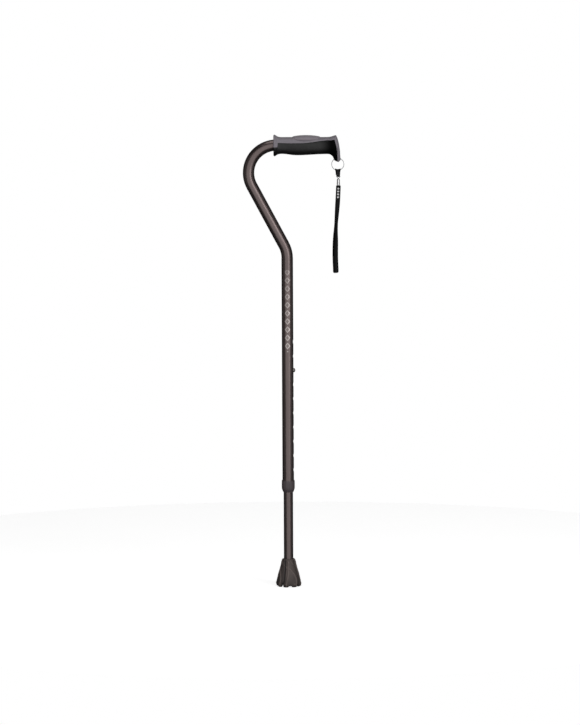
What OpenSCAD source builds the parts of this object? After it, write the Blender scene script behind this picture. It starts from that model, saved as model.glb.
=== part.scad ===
// Walking cane that stands on a small four-footed rubber tip.
// Millimetres, +Z up. The origin is the centre of the ground plane, on the shaft's axis.
// +X is the direction that the handle points in.

/* [Height] */
// Height of the snap button above the ground
button_z = 386.2; // [380:0.1:392]
// Distance between two height holes
hole_pitch = 25.4; // [20:0.1:26]
// Height holes above the one that the button is in
holes_above = 2; // [1:1:3]
// Height holes below the one that the button is in
holes_below = 7; // [3:1:7]
// Diameter of a height hole
hole_d = 8; // [7.9:0.1:9]

/* [Tubes] */
// Outer diameter of the upper tube
upper_d = 20.4; // [20:0.1:20.4]
// Wall of the upper tube
upper_wall = 1.2; // [1.1:0.1:1.4]
// Outer diameter of the lower tube
lower_d = 16.6; // [16:0.1:16.6]
// Wall of the lower tube
lower_wall = 1.2; // [1:0.1:1.4]
// Height of the handle's axis above the ground
handle_z = 787.4; // [780:0.1:795]
// Height at which the shaft starts to lean back
lean_z = 598.8; // [590:0.1:600]
// Angle of the lean
lean_angle = 28; // [26:1:30]
// Bend radius at the start of the lean, to the tube's axis
low_bend_r = 50; // [45:1:60]
// Bend radius at the top, to the tube's axis
top_bend_r = 49.3; // [47:0.1:51]
// Where the tube ends inside the grip
tube_end_x = 78; // [70:1:80]

/* [Lock nut] */
// Height of the lock nut's lower end
nut_z = 168.8; // [165:0.1:172]
// Length of the lock nut
nut_h = 20.7; // [20:0.1:22]
// Largest radius of the lock nut
nut_r = 11.6; // [11.6:0.1:12.5]
// Number of finger grooves round the lock nut
nut_grooves = 24; // [12:1:28]

/* [Rubber tip] */
// Height of the rubber tip
tip_h = 49.5; // [48:0.1:52]
// Radius from the axis to the middle of a toe
toe_ring_r = 18.4; // [18:0.1:18.6]
// Radius of a toe
toe_r = 3.3; // [3:0.1:3.4]
// Angle from the front to the middle of the first foot
foot_angle = 8.5; // [0:0.5:20]

/* [Grip] */
// Half the width of the grip's body
grip_half_w = 16; // [15:0.5:17]
// Radius of the collar at the back of the grip
collar_r = 19.4; // [19:0.1:19.6]
// Radius of the hole that the strap's ring passes through
ring_hole_r = 2.6; // [2.5:0.1:2.8]

/* [Strap] */
// X of the hanging strap's upper end
hang_x = 91; // [90.5:0.1:91.5]
// Radius of the split ring, to the middle of its wire
ring_r = 10.8; // [10.5:0.1:11]
// Width of the wrist strap's webbing
strap_w = 8; // [7.5:0.1:8]
// Thickness of the webbing
strap_t = 1.2; // [1:0.1:1.2]
// Height of the bottom of the hanging strap
strap_bottom_z = 559.2; // [540:0.1:575]

/* [Hidden] */
$fn = 64;

rubber = [0.34, 0.31, 0.30];
bronze = [0.42, 0.37, 0.37];
black = [0.08, 0.08, 0.08];
mauve = [0.50, 0.48, 0.51];
steel = [0.78, 0.78, 0.80];
white_plastic = [0.85, 0.85, 0.83];

fit = 0.05;                 // radial clearance of a pressed or running fit
clear = 0.3;                // radial clearance between parts that only pass each other
lap = 0.5;                  // how far a straight rod laps over a bend's end
far = 200;                  // longer than any cut needs

upper_r = upper_d / 2;
upper_bore = upper_r - upper_wall;
lower_r = lower_d / 2;
lower_bore = lower_r - lower_wall;
nut_top = nut_z + nut_h;
socket_z = 12.5;            // floor of the tip's socket
washer_t = 1.5;
tube_foot_z = socket_z + washer_t;
lower_top_z = button_z + 24;
tube_stop_z = nut_z + 8.2;  // lower end of the upper tube, inside the lock nut

// The upper tube's centre line: where the first bend starts, the straight between the bends,
// and the handle from the end of the second bend
low_start_z = lean_z - low_bend_r * tan(lean_angle / 2);
top_centre_z = handle_z - top_bend_r;
top_centre_x = (top_bend_r - (top_centre_z - lean_z) * sin(lean_angle)) / cos(lean_angle);
lean_length = (top_centre_z - top_bend_r * sin(lean_angle) - lean_z) / cos(lean_angle)
  - low_bend_r * tan(lean_angle / 2);

// The button: how far out it stands and where its inner flange sits
button_tip_x = 13.4;
button_r = 3.8;
button_flange_x = 4.5;
button_hole_r = button_r + 0.1;

// The hanging hardware
ring_x = hang_x - 0.9;
ring_z = 752.9;
ring_hole_z = ring_z + ring_r + 1;
ring_half = [0.65, 0.75];   // half the ring's thickness outwards, and along its axis
bar_z = 731.4;              // the bar of the bail, inside the tab's lower fold
bar_r = 0.5;
tab_t = 2.4;
stitch_size = [0.9, 0.2, 0.3];
cap_z = 716;                // lower end of the swivel's cap
cap_top_z = 726.8;
pin_z = 713.2;
pin_r = 0.7;
fold_r = 1.75;              // the webbing's centre line round the strap pin
strap_low_r = 2.7;          // the webbing's centre line round the bottom of the loop

// A straight rod from point a to point b
module rod(a, b, r) {
  d = b - a;
  translate(a) rotate([0, acos(d[2] / norm(d)), atan2(d[1], d[0])]) cylinder(h = norm(d), r = r);
}

// A cylinder along X that starts at x
module x_cylinder(x, z, h, r, r2 = -1) {
  translate([x, 0, z]) rotate([0, 90, 0]) cylinder(h = h, r1 = r, r2 = r2 < 0 ? r : r2);
}

// An outline in X and Z, extruded evenly to both sides of the plane Y = 0
module side_plate(points, width) {
  translate([0, width / 2, 0]) rotate([90, 0, 0]) linear_extrude(height = width) polygon(points);
}

// A bent rod that starts at the origin along +Z and turns towards +X, with its end's frame.
// Its section is a touch smaller than the straight rods, which lap over its ends.
module bend_to_x(bend_r, angle, r) {
  translate([bend_r, 0, 0]) rotate([90, 0, 0]) rotate([0, 0, 180 - angle])
    rotate_extrude(angle = angle) translate([bend_r, 0]) circle(r = r - 0.1);
  translate([bend_r, 0, 0]) rotate([0, angle, 0]) translate([-bend_r, 0, 0]) children();
}

// ---------------------------------------------------------------- rubber tip

function toe_at(angle, r, z) = [r * sin(angle), -r * cos(angle), z];

module toe() {
  rotate_extrude() intersection() {
    union() {
      translate([0, 1.6]) square([toe_r, 6]);
      square([toe_r - 1.6, 3]);
      translate([toe_r - 1.6, 1.6]) circle(r = 1.6);
    }
    square([toe_r, 7]);
  }
}

// The bell, hollow underneath round a central foot that rests on the ground
module tip_bell() {
  rotate_extrude(convexity = 4) polygon([
    [lower_r + fit, tip_h], [9.5, tip_h], [10.7, 47.6], [11.7, 45], [12.3, 42.3], [13.8, 35.2],
    [15.9, 28], [18, 20.9], [19.7, 13.8], [20.6, 9], [20.9, 5.5], [20.2, 2], [19.2, 1],
    [15.6, 1], [14.4, 7], [9, 9.5], [5.6, 9.5], [4.6, 0.4], [4.2, 0], [0, 0], [0, socket_z],
    [lower_r + fit, socket_z]]);
}

// The ridges of one foot: a stem from the neck that forks to the foot's two toes
module foot_ridges(angle) {
  fork = toe_at(angle, 14.4, 29);
  rod(toe_at(angle, 9.9, 46), fork, 1.6, $fn = 6);
  for (side = [-22.5, 22.5])
    rod(toe_at(angle + side / 20, 14.2, 31), toe_at(angle + side, 19, 7), 1.6, $fn = 6);
}

module tip_boot() {
  color(rubber) difference() {
    union() {
      tip_bell();
      for (i = [0 : 7])
        translate(toe_at(foot_angle + 22.5 + 45 * i, toe_ring_r, 0)) toe();
      for (i = [0 : 3]) foot_ridges(foot_angle + 90 * i);
    }
    for (i = [0 : 3]) {
      // the shallow arch between the two toes of a foot
      rotate([0, 0, foot_angle + 90 * i]) translate([0, -11, -1.4]) rotate([90, 0, 0])
        cylinder(h = 15, r = 5.2);
      // the sharp notch between two feet
      rotate([0, 0, foot_angle + 45 + 90 * i]) translate([0, -11, 0]) rotate([90, 0, 0])
        linear_extrude(height = 15) polygon([[-3, -1], [3, -1], [0.6, 6.6], [-0.6, 6.6]]);
    }
    translate([0, 0, socket_z]) cylinder(h = far, r = lower_r + fit);
  }
}

module tip_washer() {
  color(steel) translate([0, 0, socket_z]) difference() {
    cylinder(h = washer_t, r = lower_r - fit);
    translate([0, 0, -1]) cylinder(h = washer_t + 2, r = 3);
  }
}

// ---------------------------------------------------------------- lower tube

module lower_tube() {
  color(bronze) difference() {
    translate([0, 0, tube_foot_z]) cylinder(h = lower_top_z - tube_foot_z, r = lower_r);
    translate([0, 0, tube_foot_z - 1]) cylinder(h = far * 3, r = lower_bore);
    x_cylinder(0, button_z, lower_d, button_hole_r);
  }
}

// The plug in the lower tube's top that centres it inside the upper tube
module guide_bush() {
  color(white_plastic) difference() {
    union() {
      translate([0, 0, lower_top_z - 10]) cylinder(h = 10, r = lower_bore - fit);
      translate([0, 0, lower_top_z]) cylinder(h = 3, r = upper_bore - 2 * fit);
      translate([0, 0, lower_top_z + 3]) cylinder(h = 1, r1 = upper_bore - 2 * fit, r2 = 8);
    }
    translate([0, 0, lower_top_z - 11]) cylinder(h = 16, r = 4);
  }
}

// The bent spring leaf that pushes the button out
module button_spring() {
  z = button_z;
  near = button_flange_x - fit;
  color(steel) side_plate([
    [near, z + 7], [near, z - 6.5], [0.9, z - 41.7], [0, z - 43.8], [-0.9, z - 44.4],
    [-1.8, z - 43.8], [-2.7, z - 41.7], [-6.2, z - 6.2], [-6.2, z + 7], [-5.7, z + 7],
    [-5.7, z - 6.2], [-2.2, z - 41.6], [-1.6, z - 43.2], [-0.9, z - 43.8], [-0.2, z - 43.2],
    [0.4, z - 41.6], [near - 0.5, z - 6.4], [near - 0.5, z + 7]], 6);
}

module snap_button() {
  dome = 2.6;
  color(steel) translate([0, 0, button_z]) rotate([0, 90, 0]) rotate_extrude() polygon(concat(
    [[0, button_flange_x], [button_r + 0.8, button_flange_x],
      [button_r + 0.8, button_flange_x + 0.8], [button_r, button_flange_x + 0.8]],
    [for (a = [0 : 15 : 90]) [button_r * cos(a), button_tip_x - dome + dome * sin(a)]]));
}

// ---------------------------------------------------------------- upper tube

// The solid that follows the upper tube's centre line with radius r
module upper_path(r, from_z, to_x) {
  translate([0, 0, from_z]) cylinder(h = low_start_z + lap - from_z, r = r);
  translate([0, 0, low_start_z]) mirror([1, 0, 0]) bend_to_x(low_bend_r, lean_angle, r) {
    translate([0, 0, -lap]) cylinder(h = lean_length + 2 * lap, r = r);
    translate([0, 0, lean_length]) mirror([1, 0, 0]) bend_to_x(top_bend_r, 90 + lean_angle, r)
      translate([0, 0, -lap]) cylinder(h = to_x - top_centre_x + lap, r = r);
  }
}

module upper_tube() {
  color(bronze) difference() {
    upper_path(upper_r, tube_stop_z, tube_end_x);
    upper_path(upper_bore, tube_stop_z - 1, tube_end_x + 1);
    for (i = [-holes_below : holes_above])
      x_cylinder(0, button_z + hole_pitch * i, upper_d, hole_d / 2);
  }
}

// The split sleeve in the mouth of the upper tube that the lock nut squeezes
module collet() {
  hub_r = nut_r - 0.9;
  slope = 0.597;
  z0 = nut_z + 1.2;
  color(white_plastic) difference() {
    rotate_extrude(convexity = 4) polygon([
      [lower_r + fit, z0 + 1], [9.05, z0 + 1], [9.05 + slope * 2.6, z0 + 3.6],
      [hub_r, z0 + 4], [hub_r, nut_top - 1.5], [upper_r + fit, nut_top - 1.5],
      [upper_r + fit, tube_stop_z], [upper_bore - fit, tube_stop_z],
      [upper_bore - fit, nut_top + 6.5], [lower_r + fit, nut_top + 6.5]]);
    for (angle = [0, 90])
      rotate([0, 0, angle]) translate([-far / 2, -0.6, z0 - 1]) cube([far, 1.2, 6]);
  }
}

module lock_nut() {
  inner = nut_r - 0.85;
  z0 = nut_z + 1.2;
  color(rubber) difference() {
    rotate_extrude(convexity = 4) polygon([
      [lower_r + clear, nut_z], [9.1, nut_z], [11.2, nut_z + 5.2], [nut_r, nut_z + 8.5],
      [nut_r, nut_top - 2.5], [nut_r - 0.25, nut_top], [inner, nut_top], [inner, z0 + 3.6],
      [lower_r + clear, z0]]);
    for (i = [0 : nut_grooves - 1])
      rotate([0, 0, i * 360 / nut_grooves]) translate([nut_r + 0.55, 0, nut_z + 5])
        cylinder(h = nut_h, r = 0.8);
  }
}

// ---------------------------------------------------------------- grip

// The whole grip seen from the side
grip_side = [
  [-23.5, 803.5], [-21.5, 806], [-17.5, 803.6], [-13.7, 801.5], [8, 801.5], [14, 803],
  [22, 804.2], [31, 804.6], [42, 804], [52, 802.8], [60, 801.2], [76, 801.3], [84, 803.3],
  [87.5, 804.3], [90.2, 798], [92, 791], [93.6, 783], [94.9, 772], [95.4, 764], [93.5, 759],
  [91.3, 756.4], [89, 758.8], [85.3, 762.5], [82.3, 766.3], [78.5, 769.9], [74.7, 771.2],
  [68, 771.4], [46, 770.7], [28, 769.6], [14, 769.4], [3, 771], [-11, 772.2], [-15.5, 771],
  [-18.1, 769.4], [-21.7, 767.4], [-23.5, 769.5]];

// The part of the side view that the grey cover fills
cover_side = [
  [-30, 785], [-15.9, 785], [-15.9, 793.3], [5.7, 792.4], [24.1, 792.7], [44.7, 794.2],
  [60, 796.5], [75.4, 798.1], [84.3, 798.5], [87.7, 786.5], [89.1, 774.4], [89.7, 762.7],
  [89.9, 750], [100, 750], [100, 815], [-30, 815]];

// The lens under the palm
pad_side = [[10, 803], [14, 798.7], [22, 796.4], [32, 795.5], [42, 796.4], [50, 798.2],
  [59, 802], [59, 815], [10, 815]];

// The grip seen along the handle: a rounded block, with half its width and its corner radius
module grip_section(half_w, low, high, corner) {
  for (y = [-1, 1])
    for (z = [low + corner, high - corner])
      translate([y * (half_w - corner), z]) circle(r = corner);
  translate([-half_w, low + corner]) square([2 * half_w, high - low - 2 * corner]);
  translate([corner - half_w, low]) square([2 * (half_w - corner), high - low]);
}

module along_x(x, length) {
  translate([x, 0, 0]) rotate([90, 0, 90]) linear_extrude(height = length) children();
}

// The outer shape of the grip, without its hollow for the tube
module grip_blank() {
  intersection() {
    side_plate(grip_side, 50);
    union() {
      along_x(-18, 104) grip_section(grip_half_w, 769.2, 804.8, 12.5);
      x_cylinder(-24, 786.9, 7, collar_r);
      along_x(80, 16) polygon([[-13, 806], [13, 806], [16, 800], [16, 786], [12, 776],
        [6.5, 768], [5.5, 756], [-5.5, 756], [-6.5, 768], [-12, 776], [-16, 786], [-16, 800]]);
    }
  }
}

// The hollow for the tube, widened where the tube starts to bend, and the strap ring's hole
module grip_hollow() {
  x_cylinder(-20, handle_z, tube_end_x + 21, upper_r + fit);
  x_cylinder(-25, handle_z - 0.2, 8, upper_r + 0.6);
  x_cylinder(80, ring_hole_z, 20, ring_hole_r);
  x_cylinder(80, ring_hole_z, 6.5, 7, ring_hole_r);
  x_cylinder(94, ring_hole_z, 2, ring_hole_r, 3.8);
}

module grip_body() {
  color(black) difference() {
    grip_blank();
    side_plate(cover_side, 60);
    grip_hollow();
  }
}

module palm_pad_shape() {
  difference() {
    intersection() {
      grip_blank();
      side_plate(pad_side, 60);
    }
    x_cylinder(5, handle_z, 60, upper_r + 1.6);
  }
}

module grip_cover() {
  color(mauve) difference() {
    intersection() {
      grip_blank();
      side_plate(cover_side, 60);
    }
    grip_hollow();
    palm_pad_shape();
  }
}

module palm_pad() {
  color(mauve) palm_pad_shape();
}

// ---------------------------------------------------------------- strap and its hardware

// The ring's round path with a rectangular section, grown by extra, over an arc about its bottom
module ring_solid(half, arc) {
  translate([ring_x, 0, ring_z]) rotate([90, 0, 0]) rotate([0, 0, -90 - arc / 2])
    rotate_extrude(angle = arc) translate([ring_r - half[0], -half[1]])
      square([2 * half[0], 2 * half[1]]);
}

module split_ring() {
  color(steel) ring_solid(ring_half, 360);
}

// Webbing folded over the ring at its top and round the bail's bar at its bottom
module strap_tab() {
  top_w = 5;
  low_w = 1.9;
  fold_z = ring_z - ring_r;
  color(black) difference() {
    union() {
      intersection() {
        translate([ring_x, 0, ring_z]) rotate([90, 0, 0]) rotate([0, 0, -120])
          rotate_extrude(angle = 60) translate([ring_r, 0]) circle(r = 2.5);
        translate([ring_x - top_w + 0.1, -5, fold_z - 3]) cube([2 * top_w - 0.2, 10, 8]);
      }
      x_cylinder(ring_x - top_w, fold_z, 2 * top_w, 2.4);
      translate([hang_x, 0, 0]) side_plate([[-5.8, 741.6], [-5, 739.3], [-4.6, 734.2],
        [-2.2, 731.2], [2.2, 731.2], [3.2, 734.2], [3.5, 739.3], [4, 741.6]], tab_t);
      x_cylinder(hang_x - low_w, bar_z, 2 * low_w, 1.4);
    }
    ring_solid([1.1, 1.75], 100);
    x_cylinder(hang_x - 6, bar_z, 12, bar_r + 0.1);
  }
}

// Rows of thread that hold the tab's two layers together
module tab_stitching() {
  color(white_plastic) for (z = [735, 738.6], side = [-1, 1], i = [-2 : 2])
    stitch(hang_x - 0.7 + 1.3 * i, side * (tab_t + stitch_size[1]) / 2, z);
}

// A stitch with its middle at a point
module stitch(x, y, z) {
  translate([x, y, z]) cube(stitch_size, center = true);
}

// The bail that hangs in the tab: a bar, two legs and the headed post that the cap turns on
module swivel_bail() {
  shoulder_x = 3.4;
  foot = [0.9, 0, 727.6];
  color(steel) translate([hang_x, 0, 0]) {
    x_cylinder(-shoulder_x - 0.3, bar_z, 2 * shoulder_x + 0.6, bar_r);
    for (side = [-1, 1])
      rod([side * shoulder_x, 0, bar_z], [side * foot[0], 0, foot[2]], bar_r);
    translate([0, 0, cap_top_z + 0.4]) cylinder(h = 1, r = 1.3);
    translate([0, 0, cap_top_z - 3.6]) cylinder(h = 4.4, r = 0.6);
    translate([0, 0, cap_top_z - 4.2]) cylinder(h = 0.8, r = 1.1);
  }
}

// The hollow cap that turns on the bail's post and holds the strap pin's stem
module swivel_cap() {
  color(steel) translate([hang_x, 0, 0]) rotate_extrude(convexity = 4) polygon([
    [0.7, cap_top_z], [1.6, cap_top_z], [2.3, cap_top_z - 0.5], [2.6, cap_top_z - 1.4],
    [2.85, cap_z + 3], [2.85, cap_z + 0.4], [2.5, cap_z], [0.6 + fit, cap_z],
    [0.6 + fit, cap_z + 2.5], [0, cap_z + 2.5], [0, cap_top_z - 5], [1.5, cap_top_z - 5],
    [1.5, cap_top_z - 2.9], [0.7, cap_top_z - 2.4]]);
}

// The cross pin inside the strap's fold, with its stem in the cap
module strap_pin() {
  color(steel) {
    x_cylinder(hang_x - 3.3, pin_z, 6.6, pin_r);
    translate([hang_x, 0, pin_z]) cylinder(h = cap_z + 2.4 - pin_z, r = 0.6);
  }
}

// The wrist strap is one closed loop of webbing. At height z its centre is at strap_x(z),
// its two legs stand strap_gap(z) to each side, and it is turned by strap_turn(z) about Z.
// A slot in the fold round the pin lets the pin's stem out as the strap swings.
strap_low_z = strap_bottom_z + strap_low_r + strap_t / 2;
function strap_x(z) = lookup(z, [[565, 86.6], [590, 85.6], [625, 86.2], [645, 87.2],
  [665, 88.7], [690, 90.3], [pin_z, hang_x]]);
function strap_gap(z) = lookup(z, [[strap_low_z, strap_low_r], [610, 2.5], [640, 1.4],
  [690, 0.7], [708.5, 0.7], [pin_z, fold_r]]);
function strap_turn(z) = lookup(z, [[575, 28], [600, 32], [622, 52], [645, 64],
  [668, 40], [690, 6], [700, 0]]);
function strap_half_w(z) = lookup(z, [[strap_low_z - 3, strap_w / 2 - 0.9],
  [strap_low_z - 2, strap_w / 2 - 0.1], [strap_low_z, strap_w / 2], [pin_z + 0.5, strap_w / 2],
  [pin_z + 1.5, strap_w / 2 - 0.3], [pin_z + 1.8, strap_w / 2 - 0.8]]);

leg_heights = [pin_z - 1.5, pin_z - 3, pin_z - 4.6, 707, 703, 698, 693, 688, 683, 678, 673, 668,
  662, 656, 650, 644, 638, 632, 626, 620, 613, 606, 599, 592, 584, 576, 569];
leg_count = len(leg_heights);
// Each ring of the loop: [offset across the gap, height, direction of the path]
strap_rings = concat(
  [for (a = [0 : 30 : 180]) [fold_r * cos(a), pin_z + fold_r * sin(a), a + 90]],
  [for (z = leg_heights) [-strap_gap(z), z, 270]],
  [for (a = [180 : 30 : 360])
    [strap_low_r * cos(a), strap_low_z + strap_low_r * sin(a), a + 90]],
  [for (i = [1 : leg_count]) let (z = leg_heights[leg_count - i]) [strap_gap(z), z, 90]]);
ring_count = len(strap_rings);

function ring_point(ring, across, out) =
  let (turn = strap_turn(ring[1]), half_w = strap_half_w(ring[1]) * across,
    n = ring[0] + sin(ring[2]) * out * strap_t / 2,
    z = ring[1] - cos(ring[2]) * out * strap_t / 2)
  [strap_x(ring[1]) + half_w * cos(turn) - n * sin(turn),
    half_w * sin(turn) + n * cos(turn), z];

module wrist_strap() {
  corners = [[-1, -1], [1, -1], [1, 1], [-1, 1]];
  points = [for (ring = strap_rings) for (c = corners) ring_point(ring, c[0], c[1])];
  faces = [for (i = [0 : ring_count - 1]) for (k = [0 : 3])
    let (a = i * 4, b = ((i + 1) % ring_count) * 4, m = (k + 1) % 4)
    [a + k, b + k, b + m, a + m]];
  slot_z = -0.75 / sin(45);
  color(black) difference() {
    polyhedron(points = points, faces = faces, convexity = 6);
    translate([hang_x - 0.9, 0, pin_z]) rotate([90, 0, 90]) linear_extrude(height = 1.8)
      polygon([[0, slot_z], [5, 5 + slot_z], [-5, 5 + slot_z]]);
  }
}

// Rows of thread through both layers, just under the fold
module strap_stitching() {
  color(white_plastic) for (z = [702, 706], side = [-1, 1], i = [-2 : 2])
    stitch(strap_x(z) + 1.4 * i, side * (strap_gap(z) + (strap_t + stitch_size[1]) / 2), z);
}

tip_boot();
tip_washer();
lower_tube();
guide_bush();
button_spring();
snap_button();
upper_tube();
collet();
lock_nut();
grip_body();
grip_cover();
palm_pad();
split_ring();
strap_tab();
tab_stitching();
swivel_bail();
swivel_cap();
strap_pin();
wrist_strap();
strap_stitching();
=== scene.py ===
"""Quad walking cane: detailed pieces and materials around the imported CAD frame.

Everything is worked out in millimetres, in the CAD frame, and written to meshes in metres.
+Z is up, +X is the way the handle points, and the origin is under the tip on the shaft's axis.
"""

import math

import bmesh
import bpy
import numpy as np
from mathutils import Matrix, Vector


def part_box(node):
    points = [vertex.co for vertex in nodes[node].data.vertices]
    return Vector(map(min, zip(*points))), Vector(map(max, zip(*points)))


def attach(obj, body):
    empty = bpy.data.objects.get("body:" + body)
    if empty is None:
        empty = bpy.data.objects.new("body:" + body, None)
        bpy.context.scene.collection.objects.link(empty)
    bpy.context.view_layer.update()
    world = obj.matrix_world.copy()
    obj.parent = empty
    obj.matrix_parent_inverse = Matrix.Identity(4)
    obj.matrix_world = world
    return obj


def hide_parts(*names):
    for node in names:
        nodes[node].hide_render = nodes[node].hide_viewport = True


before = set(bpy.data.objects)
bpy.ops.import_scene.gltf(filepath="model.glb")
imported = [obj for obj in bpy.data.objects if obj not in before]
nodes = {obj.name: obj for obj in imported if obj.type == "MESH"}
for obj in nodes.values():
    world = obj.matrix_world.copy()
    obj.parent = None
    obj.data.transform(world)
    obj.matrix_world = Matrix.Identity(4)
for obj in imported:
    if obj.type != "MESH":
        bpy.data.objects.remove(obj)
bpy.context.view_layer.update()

MM = 0.001
TAU = 2 * math.pi


def box_mm(node):
    """A node's lowest and highest corners, in millimetres."""
    low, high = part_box(node)
    return np.array(low) / MM, np.array(high) / MM


# ---- camera

VIEW_DISTANCE = 24.0
VIEW_ELEVATION = math.radians(8.0)
VIEW_ROLL = math.radians(-0.274)
VIEW_TARGET = Vector((0.0041, 0.0, 0.3999))
VIEW_HEIGHT = 1.2822  # metres of the object's plane that the picture's height takes in
SENSOR = 36.0


def make_camera():
    """A long lens at the photo's angle, from far away."""
    data = bpy.data.cameras.new("camera")
    data.sensor_fit = "VERTICAL"
    data.sensor_height = SENSOR
    data.lens = SENSOR * VIEW_DISTANCE / VIEW_HEIGHT
    data.clip_end = 200
    camera = bpy.data.objects.new("camera", data)
    bpy.context.scene.collection.objects.link(camera)
    back = Vector((0, -math.cos(VIEW_ELEVATION), math.sin(VIEW_ELEVATION)))
    turn = (-back).to_track_quat("-Z", "Y").to_matrix().to_4x4()
    roll = Matrix.Rotation(VIEW_ROLL, 4, "Z")
    camera.matrix_world = Matrix.Translation(VIEW_TARGET + back * VIEW_DISTANCE) @ turn @ roll
    bpy.context.scene.camera = camera


# ---- mesh helpers


def smoothstep(low, high, x):
    """0 at low and 1 at high, with a soft start and end. low may be the larger one."""
    t = np.clip((np.asarray(x, float) - low) / (high - low), 0, 1)
    return t * t * (3 - 2 * t)


def curve_through(points, x):
    """A smooth curve through (x, y) points, without overshoot (monotone cubic)."""
    px, py = np.array(points, float).T
    step = np.diff(px)
    slope = np.diff(py) / step
    tangent = np.zeros(len(px))
    same = slope[:-1] * slope[1:] > 0
    mean = 2 * slope[:-1] * slope[1:] / np.where(same, slope[:-1] + slope[1:], 1)
    tangent[1:-1] = np.where(same, mean, 0)
    tangent[0], tangent[-1] = slope[0], slope[-1]
    x = np.clip(np.asarray(x, float), px[0], px[-1])
    i = np.clip(np.searchsorted(px, x, side="right") - 1, 0, len(step) - 1)
    h = step[i]
    t = (x - px[i]) / h
    return (
        py[i] * (2 * t**3 - 3 * t**2 + 1)
        + h * tangent[i] * (t**3 - 2 * t**2 + t)
        + py[i + 1] * (3 * t**2 - 2 * t**3)
        + h * tangent[i + 1] * (t**3 - t**2)
    )


def new_object(name, verts_mm, faces, uvs=None):
    """An object from vertices in millimetres. uvs holds one (u, v) for each face corner."""
    mesh = bpy.data.meshes.new(name)
    mesh.from_pydata([tuple(v) for v in np.asarray(verts_mm, float) * MM], [], faces)
    if uvs is not None:
        layer = mesh.uv_layers.new(name="weave")
        layer.data.foreach_set("uv", np.asarray(uvs, np.float32).ravel())
    mesh.polygons.foreach_set("use_smooth", [True] * len(mesh.polygons))
    mesh.update()
    obj = bpy.data.objects.new(name, mesh)
    bpy.context.scene.collection.objects.link(obj)
    return obj


def clean(obj, distance_mm=0.002):
    """Merges vertices that fall together, drops faces with no area and turns faces outwards."""
    bm = bmesh.new()
    bm.from_mesh(obj.data)
    bmesh.ops.remove_doubles(bm, verts=bm.verts, dist=distance_mm * MM)
    bmesh.ops.dissolve_degenerate(bm, edges=bm.edges, dist=distance_mm * MM / 2)
    bmesh.ops.recalc_face_normals(bm, faces=bm.faces)
    bm.to_mesh(obj.data)
    bm.free()
    return obj


def sheet_mesh(name, grid, wrap_rows=False, wrap_cols=False, uv=None, caps=False):
    """A mesh over a grid of points, rows by columns. uv is a function of (row, column).

    caps closes the first row and the last one, and goes without uv."""
    grid = np.asarray(grid, float)
    rows, cols = grid.shape[:2]
    faces, uvs = [], []
    for r in range(rows if wrap_rows else rows - 1):
        for c in range(cols if wrap_cols else cols - 1):
            corners = [(r, c), (r, c + 1), (r + 1, c + 1), (r + 1, c)]
            faces.append([(a % rows) * cols + b % cols for a, b in corners])
            if uv:
                uvs += [uv(a, b) for a, b in corners]
    if caps:
        faces.append(list(range(cols))[::-1])
        faces.append([(rows - 1) * cols + c for c in range(cols)])
    return clean(new_object(name, grid.reshape(-1, 3), faces, uvs if uv else None))


def revolve(name, profile, centre, sides, axis="z", radius=None):
    """Turns a (radius, height) outline about an axis through centre. The outline closes on itself,
    or on the axis where both its ends are there.

    radius(r, h, angle) may change each point's radius."""
    profile = np.array(profile, float)
    profile[profile[:, 0] < 0.01, 0] = 0
    on_axis = profile[0, 0] == 0 and profile[-1, 0] == 0
    grid = np.zeros((len(profile), sides, 3))
    for j, angle in enumerate(np.linspace(0, TAU, sides, endpoint=False)):
        r, h = profile[:, 0], profile[:, 1]
        if radius:
            r = radius(r, h, angle)
        u, v = r * math.cos(angle), r * math.sin(angle)
        grid[:, j] = np.stack([u, v, h] if axis == "z" else [h, u, v], axis=1)
    return sheet_mesh(name, grid + np.array(centre, float), wrap_rows=not on_axis, wrap_cols=True)


NEARLY_STRAIGHT = math.radians(88)  # half of a corner's angle, above which it stays as it is


def rounded(outline, radius, steps):
    """An outline with its corners rounded. radius is one number, or one for each corner."""
    pts = [np.array(p, float) for p in outline]
    radii = radius if hasattr(radius, "__len__") else [radius] * len(pts)
    out = []
    for p, before, after, wanted in zip(pts, [pts[-1], *pts], [*pts[1:], pts[0]], radii):
        a, b = before - p, after - p
        la, lb = np.linalg.norm(a), np.linalg.norm(b)
        a, b = a / la, b / lb
        half = math.acos(float(np.clip(a @ b, -1, 1))) / 2
        if wanted <= 0 or half > NEARLY_STRAIGHT:
            out.append(p)
            continue
        cut = min(wanted / math.tan(half), 0.48 * la, 0.48 * lb)
        r = cut * math.tan(half)
        centre = p + (a + b) / np.linalg.norm(a + b) * (r / math.sin(half))
        start, end = p + a * cut - centre, p + b * cut - centre
        turn = math.atan2(start[0] * end[1] - start[1] * end[0], start @ end)
        for k in range(steps + 1):
            t = turn * k / steps
            c, s = math.cos(t), math.sin(t)
            turned = (c * start[0] - s * start[1], s * start[0] + c * start[1])
            out.append(centre + np.array(turned))
    return np.array(out)


def sweep(name, path, section, side):
    """Moves a flat section of (across, out) points along a path. out is along side, or side(i),
    made square to the path, and across is square to both."""
    path, section = np.asarray(path, float), np.asarray(section, float)
    last = len(path) - 1
    rows = []
    for i, point in enumerate(path):
        along = path[min(i + 1, last)] - path[max(i - 1, 0)]
        along = along / np.linalg.norm(along)
        out = np.array(side(i) if callable(side) else side, float)
        out -= along * (out @ along)
        out /= np.linalg.norm(out)
        across = np.cross(along, out)
        rows.append(point + section[:, :1] * across + section[:, 1:] * out)
    return sheet_mesh(name, rows, wrap_cols=True, caps=True)


def circle_section(radius, sides):
    """A regular outline round the origin."""
    return [
        (radius * math.cos(a), radius * math.sin(a))
        for a in np.linspace(0, TAU, sides, endpoint=False)
    ]


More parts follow.
